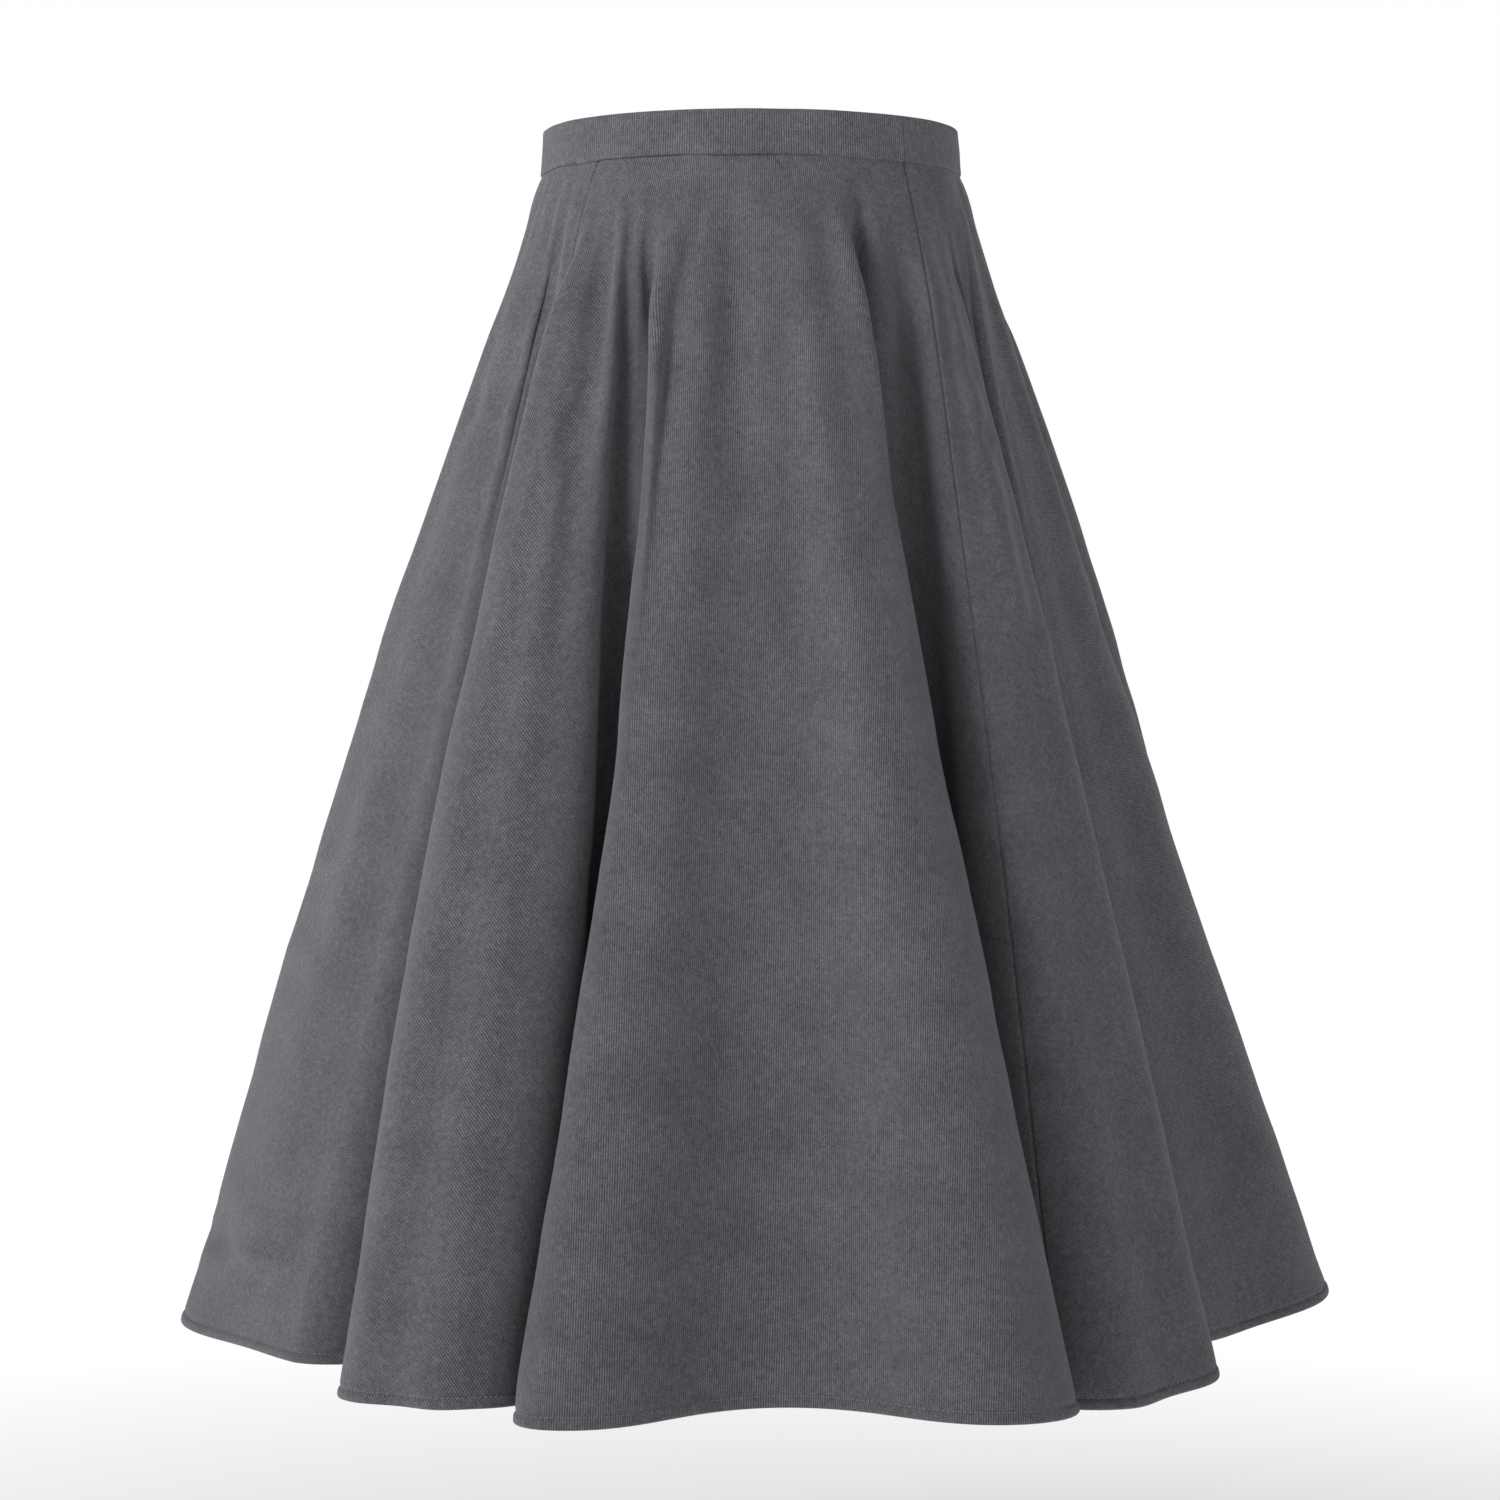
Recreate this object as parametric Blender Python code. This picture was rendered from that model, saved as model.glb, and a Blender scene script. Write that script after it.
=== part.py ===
"""Circle skirt in fine needlecord, hollow, hanging from its waistband as it does when worn.

The skirt is cut as a full circle: a front sector and two back sectors that share one grain line.
It lies closed round the waist, and each ring of cloth below is longer than the hollow it goes
round, so it stands in flutes. A ring is drawn here as a chain of soft curves that run from the
crest of a flute to the bottom of the next fold and back, as long as the flat cloth is there.
The origin is the middle of the waistband. The front faces -Y, and the wearer's left is +X.
"""

import math
from collections import namedtuple

import bmesh
import bpy
import numpy as np

# Driving dimensions, in metres
WAIST_HALF_WIDTH = 0.1285
WAIST_HALF_DEPTH = 0.0865
BAND_HEIGHT = 0.027
BAND_WALL = 0.0030
BAND_PROUD = 0.0006
BAND_TAPER = 0.0020
BAND_CORNER = 0.0009
CLOTH_LENGTH = 0.757
SKIRT_DROP = 0.716
CLOTH_WALL = 0.0016
HEM_TURN = 0.010
HEM_EXTRA = 0.0010
SEAM_GAP = 0.0003
ZIP_LENGTH = 0.180
ZIP_HALF_WIDTH = 0.011
ZIP_TAPE = 0.0008
ZIP_COIL_HALF_WIDTH = 0.002
ZIP_COIL = 0.0018
ZIP_REACHES = (-ZIP_HALF_WIDTH, -ZIP_COIL_HALF_WIDTH, ZIP_COIL_HALF_WIDTH, ZIP_HALF_WIDTH)

# Places on the flat circle, in degrees from centre front, towards the wearer's left
SIDE_SEAM = 51.0
CENTRE_BACK = 180.0

# How the folds leave the waist
FOLD_START = 0.3        # share of the length in which a fold turns from the waist curve to its own
SLACK_START = 0.15      # share of a fold's spare length that it has at the waist
SLACK_REACH = 0.2       # share of the length in which it gains the rest
STRAIGHT_SPARE = 0.01   # least spare length where the cloth runs along the ring
TURNED_SPARE = 0.11     # least spare length more where it turns square to the ring

# One row for each crest and each fold bottom, round the skirt from the wearer's right side.
# crest: 1 on a crest, 0 at the bottom of a fold.
# waist, hem: where it lies on the flat circle at the waist and at the hem, in degrees.
# x, y: its place at the hem, in mm. heading: the way the cloth runs there, in degrees.
# dip: how far it hangs below the level hem, in mm. bow: how much it swells on the way down.
# slack: the most cloth from this row to the next, over the straight distance.
# late: how late a fold bottom sinks in between its two crests; 1 is evenly from the waist.
Fold = namedtuple("Fold", "name crest waist hem x y heading dip bow slack late", defaults=(1.0,))
FOLDS = (
    Fold("right side crest", 1, -78, -74.5, -355, 50, -94, -2, 0.2, 1.10),
    Fold("right side shoulder", 1, -66, -61.5, -270, -120, -52, 1, 0.08, 1.20),
    Fold("right front fold", 0, -56, -51.5, -140, -72, -48, 10, 0.0, 1.30, 1.45),
    Fold("right front crest", 1, -47, -37, -218, -258, -38, 0, 0.33, 1.20),
    Fold("right front shoulder", 1, -43, -32.4, -145, -282, 12, -1, 0.25, 1.30),
    Fold("right inner fold", 0, -34, -20.8, -30, -165, -30, 10, 0.0, 1.30, 1.5),
    Fold("centre crest right", 1, -18, -6.4, -111, -317, -14, 4, -0.12, 1.20),
    Fold("centre dip", 1, 0, 2.2, 20, -268, 0, 1, 0.1, 1.20),
    Fold("centre crest left", 1, 18, 11.5, 150, -312, 20, 2, 0.0, 1.33),
    Fold("left deep fold", 0, 39, 36, 50, -105, 40, 8, 0.0, 1.22, 1.35),
    Fold("left front crest", 1, 58.5, 54, 213, -232, 28, 8, 0.05, 1.08),
    Fold("left front shoulder", 1, 64.5, 61, 270, -142, 84, 1, 0.05, 1.12),
    Fold("left front fold", 0, 71, 74, 160, -38, 62, 10, 0.0, 1.20, 1.45),
    Fold("left side shoulder", 1, 77, 84.8, 280, -36, 50, 3, 0.0, 1.04),
    Fold("left side crest", 1, 86, 96.5, 373, 106, 92, -10, -0.04, 1.20),
    Fold("left side fold", 0, 95, 108.5, 220, 82, 112, 8, 0.2, 1.15, 1.2),
    Fold("left back crest 1", 1, 106, 121, 314, 194, 124, 0, 0.82, 1.15),
    Fold("left back fold 1", 0, 120, 134.5, 142, 126, 137, 8, 0.1, 1.15, 1.25),
    Fold("left back crest 2", 1, 133, 146, 185, 267, 148, 0, 0.1, 1.20),
    Fold("left back fold 2", 0, 146, 157.5, 72, 153, 158, 8, 0.0, 1.20, 1.35),
    Fold("left back crest 3", 1, 159, 168.5, 73, 308, 168, 0, 0.1, 1.20),
    Fold("centre back fold", 0, 172, 178.5, 7, 165, 178, 8, 0.0, 1.20, 1.25),
    Fold("right back crest 3", 1, 185, 189.5, -49, 312, 188, 0, 0.1, 1.20),
    Fold("right back fold 3", 0, 198, 201, -59, 157, 198, 8, 0.0, 1.20, 1.35),
    Fold("right back crest 2", 1, 211, 212.5, -164, 278, 208, 0, 0.1, 1.20),
    Fold("right back fold 2", 0, 224, 224, -117, 130, 218, 8, 0.0, 1.20, 1.25),
    Fold("right back crest 1", 1, 237, 236, -260, 211, 228, 0, 0.1, 1.15),
    Fold("right back fold 1", 0, 249, 248, -165, 92, 236, 8, 0.0, 1.12, 1.35),
    Fold("right side back crest", 1, 260, 261, -328, 125, 250, 0, 0.0, 1.15),
    Fold("right side fold", 0, 271, 273, -215, 20, 262, 8, 0.0, 1.20, 1.25),
)

# How finely the surface is worked out and meshed
LEVELS = 61
CURVE_STEPS = 32
COLUMNS_PER_HALF_FOLD = 6
COLUMN_BUNCHING = 0.55
ZIP_ROWS = (0, 0.022, 0.05, 0.085, 0.13, 0.18, ZIP_LENGTH / CLOTH_LENGTH)
ROWS = ZIP_ROWS + (0.32, 0.44, 0.58, 0.75, 0.92)
BAND_COLUMNS = 64

CORD_GREY = (0.092, 0.090, 0.098, 1.0)
BAND_GREY = (0.100, 0.098, 0.106, 1.0)
ZIP_GREY = (0.060, 0.058, 0.064, 1.0)

# The waist ellipse by arc length, from centre back round the front
ellipse_turn = np.linspace(-math.pi, math.pi, 3601)
ellipse_x = WAIST_HALF_WIDTH * np.sin(ellipse_turn)
ellipse_y = -WAIST_HALF_DEPTH * np.cos(ellipse_turn)
ellipse_arc = np.concatenate([[0.0], np.cumsum(np.hypot(np.diff(ellipse_x), np.diff(ellipse_y)))])
WAIST_LENGTH = float(ellipse_arc[-1])
WAIST_RADIUS = WAIST_LENGTH / (2 * math.pi)
HEM_RADIUS = WAIST_RADIUS + CLOTH_LENGTH


def smooth_step(share):
    share = min(1.0, max(0.0, share))
    return share * share * (3 - 2 * share)


def waist_place(angle):
    """Point on the waist ellipse, and the way it runs there, for an angle on the flat circle."""
    laps = math.floor((angle + 180) / 360)
    arc = math.radians(angle - 360 * laps + 180) * WAIST_RADIUS
    turn = float(np.interp(arc, ellipse_arc, ellipse_turn))
    heading = math.atan2(WAIST_HALF_DEPTH * math.sin(turn), WAIST_HALF_WIDTH * math.cos(turn))
    x = WAIST_HALF_WIDTH * math.sin(turn)
    y = -WAIST_HALF_DEPTH * math.cos(turn)
    return x, y, math.degrees(heading) + 360 * laps


def flat_angle(fold, radius):
    """A fold line is nearly straight on the flat cloth, so its angle settles as the radius grows."""
    drift = (fold.waist - fold.hem) / (1 / WAIST_RADIUS - 1 / HEM_RADIUS)
    return fold.hem + drift * (1 / radius - 1 / HEM_RADIUS)


def bend_for(reach, start, end, length, bend):
    """The two bends that carry a curve of this length over this distance between two headings."""
    t = (np.arange(64) + 0.5) / 64
    base = start + (end - start) * t
    wave = np.sin(math.pi * t)
    ripple = np.sin(3 * math.pi * t)
    bend = np.array(bend)
    for _ in range(60):
        heading = base + bend[0] * wave + bend[1] * ripple
        run, rise = np.cos(heading), np.sin(heading)
        miss = np.array([length * run.mean() - reach[0], length * rise.mean() - reach[1]])
        if np.hypot(*miss) < 1e-8:
            break
        slope = length * np.array([
            [-(rise * wave).mean(), -(rise * ripple).mean()],
            [(run * wave).mean(), (run * ripple).mean()],
        ])
        step = np.linalg.solve(slope.T @ slope + 1e-9 * np.eye(2), -slope.T @ miss)
        bend += step * min(1.0, 0.3 / max(1e-12, np.abs(step).max()))
    return tuple(bend), float(np.hypot(*miss))


def spot_at(fold, share):
    """A point on the nearly straight line from a fold's place at the waist to its place at the hem."""
    x, y, _ = waist_place(fold.waist)
    out = share + fold.bow * share * (1 - share)
    return np.array([x + (fold.x / 1000 - x) * out, y + (fold.y / 1000 - y) * out])


def anchors_at(share):
    """Where each row of FOLDS stands on the ring at this share of the length."""
    radius = WAIST_RADIUS + CLOTH_LENGTH * share
    places = []
    for index, fold in enumerate(FOLDS):
        x, y = spot_at(fold, share)
        if fold.late != 1.0:
            # This fold bottom stays near the middle of its two crests at first, and sinks in later
            before, after = FOLDS[index - 1], FOLDS[(index + 1) % len(FOLDS)]
            middles = [(spot_at(before, at) + spot_at(after, at)) / 2 for at in (share, 0, 1)]
            between, at_waist, at_hem = middles
            from_waist = (spot_at(fold, 0) - at_waist) * (1 - share)
            x, y = between + from_waist + (spot_at(fold, 1) - at_hem) * share**fold.late
        heading = waist_place(fold.waist)[2]
        heading += (fold.heading - heading) * smooth_step(share / FOLD_START)
        places.append((flat_angle(fold, radius), x, y, heading, fold.dip / 1000 * share * share))
    angle, x, y, heading, dip = places[0]
    return places + [(angle + 360, x, y, heading + 360, dip)]


def ring_at(share, bends):
    """Flat angle, x, y and z round the ring; bends holds the last ring's, as a first guess."""
    radius = WAIST_RADIUS + CLOTH_LENGTH * share
    slack_share = smooth_step(SLACK_START + share / SLACK_REACH)
    places = anchors_at(share)
    t = np.linspace(0, 1, CURVE_STEPS + 1)
    ring = []
    for index, (here, there) in enumerate(zip(places, places[1:])):
        reach = (there[1] - here[1], there[2] - here[2])
        straight = math.hypot(*reach)
        middle = math.radians((here[3] + there[3]) / 2)
        across = (reach[0] * math.sin(middle) - reach[1] * math.cos(middle)) / straight
        least = 1 + STRAIGHT_SPARE + TURNED_SPARE * across * across
        most = 1 + (FOLDS[index].slack - 1) * slack_share
        length = radius * math.radians(there[0] - here[0])
        length = max(least, min(length / straight, most)) * straight
        start, end = math.radians(here[3]), math.radians(there[3])
        bend, miss = bend_for(reach, start, end, length, bends[index])
        if miss < 1e-5:
            bends[index] = bend
        heading = start + (end - start) * t
        heading += bend[0] * np.sin(math.pi * t) + bend[1] * np.sin(3 * math.pi * t)
        run, rise = np.cos(heading), np.sin(heading)
        x = here[1] + length / CURVE_STEPS * np.append(0, np.cumsum((run[1:] + run[:-1]) / 2))
        y = here[2] + length / CURVE_STEPS * np.append(0, np.cumsum((rise[1:] + rise[:-1]) / 2))
        x += (there[1] - x[-1]) * t
        y += (there[2] - y[-1]) * t
        dip = here[4] + (there[4] - here[4]) * (1 - np.cos(math.pi * t)) / 2
        angle = here[0] + (there[0] - here[0]) * t
        ring.append(np.stack([angle, x, y, -SKIRT_DROP * share - dip], axis=1)[:-1])
    return np.concatenate(ring)


def waist_ring(angles):
    """The ring at the waist seam, exactly on the ellipse."""
    places = [waist_place(angle) for angle in angles]
    return np.array([(angle, place[0], place[1], 0.0) for angle, place in zip(angles, places)])


def all_rings():
    """Rings from the waist to the hem, worked out upwards from the hem."""
    following = FOLDS[1:] + FOLDS[:1]
    bends = [(float(here.crest - there.crest), 0.0) for here, there in zip(FOLDS, following)]
    rings = [ring_at(share, bends) for share in np.linspace(1, 0, LEVELS)]
    rings[-1] = waist_ring(rings[-1][:, 0])
    return rings[::-1]


RINGS = all_rings()
TOP = -BAND_HEIGHT / 2 - SEAM_GAP


def on_ring(ring, angles):
    laps = np.concatenate([ring[:, 0] - 360, ring[:, 0], ring[:, 0] + 360])
    return np.stack([np.interp(angles, laps, np.tile(ring[:, axis], 3)) for axis in (1, 2, 3)], axis=1)


def cloth_points(share, angles):
    """Points on the middle of the cloth at one share of its length."""
    level = min(max(share, 0.0), 1.0) * (LEVELS - 1)
    lower = min(int(level), LEVELS - 2)
    mix = level - lower
    points = on_ring(RINGS[lower], angles) * (1 - mix) + on_ring(RINGS[lower + 1], angles) * mix
    points[:, 2] += TOP
    return points


def cloth_normals(share, angles):
    """Outward normals of the cloth, the same from both sides of a seam."""
    radius = WAIST_RADIUS + CLOTH_LENGTH * share
    nudge = math.degrees(0.0015 / radius)
    along = cloth_points(share, angles + nudge) - cloth_points(share, angles - nudge)
    down = cloth_points(share + 0.012, angles) - cloth_points(share - 0.012, angles)
    normals = np.cross(down, along)
    return normals / np.linalg.norm(normals, axis=1, keepdims=True)


def column_angles(first, last, share, columns):
    """Angles of a panel's columns: they keep to its fold lines, between the panel's two seams."""
    radius = WAIST_RADIUS + CLOTH_LENGTH * share
    half_gap = math.degrees(SEAM_GAP / 2 / radius)
    lines = [flat_angle(fold, radius) + lap for lap in (-360, 0, 360) for fold in FOLDS]
    hem_lines = [fold.hem + lap for lap in (-360, 0, 360) for fold in FOLDS]
    inside = [line for line, at_hem in zip(lines, hem_lines) if first < at_hem < last]
    zip_lines = [SIDE_SEAM + math.degrees(reach / radius) for reach in ZIP_REACHES]
    start = [line for line in zip_lines if first == SIDE_SEAM and line > first]
    end = [line for line in zip_lines if last == SIDE_SEAM and line < last]
    stops = [start[-1] if start else first + half_gap] + inside + [end[0] if end else last - half_gap]
    angles = [first + half_gap] * bool(start) + start[:-1]
    even = np.arange(columns) / columns
    bunched = even - COLUMN_BUNCHING * np.sin(2 * math.pi * even) / (2 * math.pi)
    for here, there in zip(stops, stops[1:]):
        angles.extend(here + (there - here) * bunched)
    return np.array(angles + [stops[-1]] + end[1:] + [last - half_gap] * bool(end))


def new_material(name, color, roughness):
    material = bpy.data.materials.new(name)
    material.use_nodes = True
    shader = material.node_tree.nodes["Principled BSDF"]
    shader.inputs["Base Color"].default_value = color
    shader.inputs["Roughness"].default_value = roughness
    shader.inputs["Metallic"].default_value = 0.0
    return material


def add_object(name, outer, inner, material):
    """One closed wall between two grids of points, rows down and columns along."""
    rows, columns = outer.shape[:2]
    mesh = bmesh.new()
    skins = [[[mesh.verts.new(point) for point in row] for row in skin] for skin in (outer, inner)]
    front, back = skins
    for i in range(rows - 1):
        for j in range(columns - 1):
            mesh.faces.new((front[i][j], front[i + 1][j], front[i + 1][j + 1], front[i][j + 1]))
            mesh.faces.new((back[i][j], back[i][j + 1], back[i + 1][j + 1], back[i + 1][j]))
    for j in range(columns - 1):
        mesh.faces.new((front[0][j], front[0][j + 1], back[0][j + 1], back[0][j]))
        mesh.faces.new((front[-1][j + 1], front[-1][j], back[-1][j], back[-1][j + 1]))
    # Both sides of a seam are split along the same diagonal, so the gap between them stays even
    for i in range(rows - 1):
        mesh.faces.new((front[i][0], back[i][0], back[i + 1][0]))
        mesh.faces.new((front[i][0], back[i + 1][0], front[i + 1][0]))
        mesh.faces.new((front[i][-1], front[i + 1][-1], back[i + 1][-1]))
        mesh.faces.new((front[i][-1], back[i + 1][-1], back[i][-1]))
    finish_object(name, mesh, material)


def finish_object(name, mesh, material):
    data = bpy.data.meshes.new(name)
    mesh.to_mesh(data)
    mesh.free()
    data.materials.append(material)
    data.shade_smooth()
    data.set_sharp_from_angle(angle=math.radians(50))
    bpy.context.scene.collection.objects.link(bpy.data.objects.new(name, data))


def add_panel(name, first, last, material):
    """A sector of the circle, with its hem turned up inside."""
    turn = 1 - HEM_TURN / CLOTH_LENGTH
    step = HEM_EXTRA / CLOTH_LENGTH
    rows = [(share, 0.0) for share in ROWS]
    rows += [(turn - step, 0.0), (turn, HEM_EXTRA), (1.0, HEM_EXTRA)]
    outer, inner = [], []
    for share, extra in rows:
        angles = column_angles(first, last, share, COLUMNS_PER_HALF_FOLD)
        middle = cloth_points(share, angles)
        normals = cloth_normals(share, angles)
        outer.append(middle + normals * CLOTH_WALL / 2)
        inner.append(middle - normals * (CLOTH_WALL / 2 + extra))
    outer[0][:, 2] = TOP
    inner[0][:, 2] = TOP
    add_object(name, np.array(outer), np.array(inner), material)


def add_waistband(material):
    """A straight band round the waist, its ends meeting over the left side seam."""
    half, wall = BAND_HEIGHT / 2, BAND_WALL / 2
    corner = BAND_CORNER
    profile = [
        (wall, half - corner), (wall, corner - half), (wall - corner, -half), (corner - wall, -half),
        (-wall, corner - half), (-wall, half - corner), (corner - wall, half), (wall - corner, half),
    ]
    half_gap = math.degrees(SEAM_GAP / 2 / WAIST_RADIUS)
    angles = np.linspace(SIDE_SEAM + half_gap, SIDE_SEAM + 360 - half_gap, BAND_COLUMNS + 1)
    mesh = bmesh.new()
    loops = []
    for angle in angles:
        x, y, heading = waist_place(angle)
        out = np.array([math.sin(math.radians(heading)), -math.cos(math.radians(heading))])
        loop = []
        for offset, height in profile:
            lean = BAND_PROUD - BAND_TAPER * (height + half) / BAND_HEIGHT
            place = np.array([x, y]) + out * (offset + lean)
            loop.append(mesh.verts.new((place[0], place[1], height)))
        loops.append(loop)
    count = len(profile)
    for here, there in zip(loops, loops[1:]):
        for i in range(count):
            k = (i + 1) % count
            mesh.faces.new((here[i], here[k], there[k], there[i]))
    mesh.faces.new(list(reversed(loops[0])))
    mesh.faces.new(loops[-1])
    finish_object("waistband", mesh, material)


def add_zip(material):
    """The closed side zip: its tapes and coil lie just inside the left side seam."""
    left, coil_left, coil_right, right = ZIP_REACHES
    offsets = np.array([left, coil_left, -SEAM_GAP / 2, SEAM_GAP / 2, coil_right, right])
    depth = np.where(np.abs(offsets) <= ZIP_COIL_HALF_WIDTH, ZIP_COIL, ZIP_TAPE)[:, None]
    clear = CLOTH_WALL / 2 + SEAM_GAP
    outer, inner = [], []
    for share in ZIP_ROWS:
        radius = WAIST_RADIUS + CLOTH_LENGTH * share
        angles = SIDE_SEAM + np.degrees(offsets / radius)
        middle = cloth_points(share, angles)
        normals = cloth_normals(share, angles)
        outer.append(middle - normals * clear)
        inner.append(middle - normals * (clear + depth))
    outer[0][:, 2] = TOP
    inner[0][:, 2] = TOP
    add_object("side_zip", np.array(outer), np.array(inner), material)


def main():
    for item in list(bpy.data.objects):
        bpy.data.objects.remove(item)
    cord = new_material("needlecord", CORD_GREY, 0.95)
    add_panel("front_panel", -SIDE_SEAM, SIDE_SEAM, cord)
    add_panel("back_panel_left", SIDE_SEAM, CENTRE_BACK, cord)
    add_panel("back_panel_right", CENTRE_BACK, 360 - SIDE_SEAM, cord)
    add_waistband(new_material("band needlecord", BAND_GREY, 0.95))
    add_zip(new_material("zip", ZIP_GREY, 0.7))


main()
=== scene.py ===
import math
from collections import namedtuple

import bpy
import numpy as np
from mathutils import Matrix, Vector


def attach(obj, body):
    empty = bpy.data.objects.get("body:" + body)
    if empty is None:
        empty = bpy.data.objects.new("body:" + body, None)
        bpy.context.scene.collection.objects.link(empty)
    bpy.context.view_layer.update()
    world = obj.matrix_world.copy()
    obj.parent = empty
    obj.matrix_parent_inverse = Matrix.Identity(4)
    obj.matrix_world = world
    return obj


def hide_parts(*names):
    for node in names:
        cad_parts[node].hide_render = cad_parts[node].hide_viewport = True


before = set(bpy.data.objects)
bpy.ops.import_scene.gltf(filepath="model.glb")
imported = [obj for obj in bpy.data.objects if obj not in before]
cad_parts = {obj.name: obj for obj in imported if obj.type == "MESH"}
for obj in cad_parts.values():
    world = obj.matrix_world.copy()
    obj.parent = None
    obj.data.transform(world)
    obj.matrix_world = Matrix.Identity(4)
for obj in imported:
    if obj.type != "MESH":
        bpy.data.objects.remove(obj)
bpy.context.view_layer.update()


def placed(name, data):
    # A new object at the origin, in the scene
    thing = bpy.data.objects.new(name, data)
    bpy.context.scene.collection.objects.link(thing)
    return thing


# The cut of the skirt, in metres: a full circle, closed round an oval waist
skirt = {
    "waistHalfWidth": 0.1285,
    "waistHalfDepth": 0.0865,
    "clothLength": 0.757,
    "drop": 0.716,
    "wall": 0.0016,
    "sideSeam": 51.0,       # degrees on the flat circle, from centre front to the wearer's left
    "centreBack": 180.0,
    "bandHeight": 0.027,
    "seamGap": 0.0003,
    "foldStart": 0.3,
    "slackStart": 0.15,
    "slackReach": 0.2,
    "straightSpare": 0.01,
    "turnedSpare": 0.11,
    "calmFrom": 0.012,
    "calmReach": 0.125,
    "calmSpread": ((-20, 0.06), (-13, 0.15), (-6.5, 0.2), (0, 0.18), (6.5, 0.2), (13, 0.15), (20, 0.06)),
    "levels": 101,
    "curveSteps": 40,
}

# Each crest (1) and fold bottom (0): its angle on the flat circle at waist and hem, its place at
# the hem in mm, the way the cloth runs there, dip of the hem in mm, swell, the most slack after it,
# and for a fold bottom how late it sinks in (1 is evenly from the waist)
Fold = namedtuple("Fold", "name crest waist hem x y heading dip bow slack late", defaults=(1.0,))
folds = (
    Fold("right side crest", 1, -78, -74.5, -355, 50, -94, -2, 0.2, 1.10),
    Fold("right side shoulder", 1, -66, -61.5, -270, -120, -52, 1, 0.08, 1.20),
    Fold("right front fold", 0, -56, -51.5, -140, -72, -48, 10, 0.0, 1.30, 1.45),
    Fold("right front crest", 1, -47, -37, -218, -258, -38, 0, 0.33, 1.20),
    Fold("right front shoulder", 1, -43, -32.4, -145, -282, 12, -1, 0.25, 1.30),
    Fold("right inner fold", 0, -34, -20.8, -30, -165, -30, 10, 0.0, 1.30, 1.5),
    Fold("centre crest right", 1, -18, -6.4, -111, -317, -14, 4, -0.12, 1.20),
    Fold("centre dip", 1, 0, 2.2, 20, -268, 0, 1, 0.1, 1.20),
    Fold("centre crest left", 1, 18, 11.5, 150, -312, 20, 2, 0.0, 1.33),
    Fold("left deep fold", 0, 39, 36, 50, -105, 40, 8, 0.0, 1.22, 1.35),
    Fold("left front crest", 1, 58.5, 54, 213, -232, 28, 8, 0.05, 1.08),
    Fold("left front shoulder", 1, 64.5, 61, 270, -142, 84, 1, 0.05, 1.12),
    Fold("left front fold", 0, 71, 74, 160, -38, 62, 10, 0.0, 1.20, 1.45),
    Fold("left side shoulder", 1, 77, 84.8, 280, -36, 50, 3, 0.0, 1.04),
    Fold("left side crest", 1, 86, 96.5, 373, 106, 92, -10, -0.04, 1.20),
    Fold("left side fold", 0, 95, 108.5, 220, 82, 112, 8, 0.2, 1.15, 1.2),
    Fold("left back crest 1", 1, 106, 121, 314, 194, 124, 0, 0.82, 1.15),
    Fold("left back fold 1", 0, 120, 134.5, 142, 126, 137, 8, 0.1, 1.15, 1.25),
    Fold("left back crest 2", 1, 133, 146, 185, 267, 148, 0, 0.1, 1.20),
    Fold("left back fold 2", 0, 146, 157.5, 72, 153, 158, 8, 0.0, 1.20, 1.35),
    Fold("left back crest 3", 1, 159, 168.5, 73, 308, 168, 0, 0.1, 1.20),
    Fold("centre back fold", 0, 172, 178.5, 7, 165, 178, 8, 0.0, 1.20, 1.25),
    Fold("right back crest 3", 1, 185, 189.5, -49, 312, 188, 0, 0.1, 1.20),
    Fold("right back fold 3", 0, 198, 201, -59, 157, 198, 8, 0.0, 1.20, 1.35),
    Fold("right back crest 2", 1, 211, 212.5, -164, 278, 208, 0, 0.1, 1.20),
    Fold("right back fold 2", 0, 224, 224, -117, 130, 218, 8, 0.0, 1.20, 1.25),
    Fold("right back crest 1", 1, 237, 236, -260, 211, 228, 0, 0.1, 1.15),
    Fold("right back fold 1", 0, 249, 248, -165, 92, 236, 8, 0.0, 1.12, 1.35),
    Fold("right side back crest", 1, 260, 261, -328, 125, 250, 0, 0.0, 1.15),
    Fold("right side fold", 0, 271, 273, -215, 20, 262, 8, 0.0, 1.20, 1.25),
)

ellipseTurn = np.linspace(-math.pi, math.pi, 3601)
ellipseX = skirt["waistHalfWidth"] * np.sin(ellipseTurn)
ellipseY = -skirt["waistHalfDepth"] * np.cos(ellipseTurn)
ellipseArc = np.concatenate([[0.0], np.cumsum(np.hypot(np.diff(ellipseX), np.diff(ellipseY)))])
waistLength = float(ellipseArc[-1])
waistRadius = waistLength / (2 * math.pi)
length = skirt["clothLength"]
hemRadius = waistRadius + length
waistTop = -skirt["bandHeight"] / 2 - skirt["seamGap"]


def smoothStep(share):
    share = np.clip(share, 0.0, 1.0)
    return share * share * (3 - 2 * share)


def waistPlace(angle):
    laps = math.floor((angle + 180) / 360)
    arc = math.radians(angle - 360 * laps + 180) * waistRadius
    turn = float(np.interp(arc, ellipseArc, ellipseTurn))
    heading = math.atan2(skirt["waistHalfDepth"] * math.sin(turn), skirt["waistHalfWidth"] * math.cos(turn))
    x = skirt["waistHalfWidth"] * math.sin(turn)
    y = -skirt["waistHalfDepth"] * math.cos(turn)
    return x, y, math.degrees(heading) + 360 * laps


def flatAngle(atWaist, atHem, radius):
    # A fold line is nearly straight on the flat cloth, so its angle settles as the radius grows
    drift = (atWaist - atHem) / (1 / waistRadius - 1 / hemRadius)
    return atHem + drift * (1 / radius - 1 / hemRadius)


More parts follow.
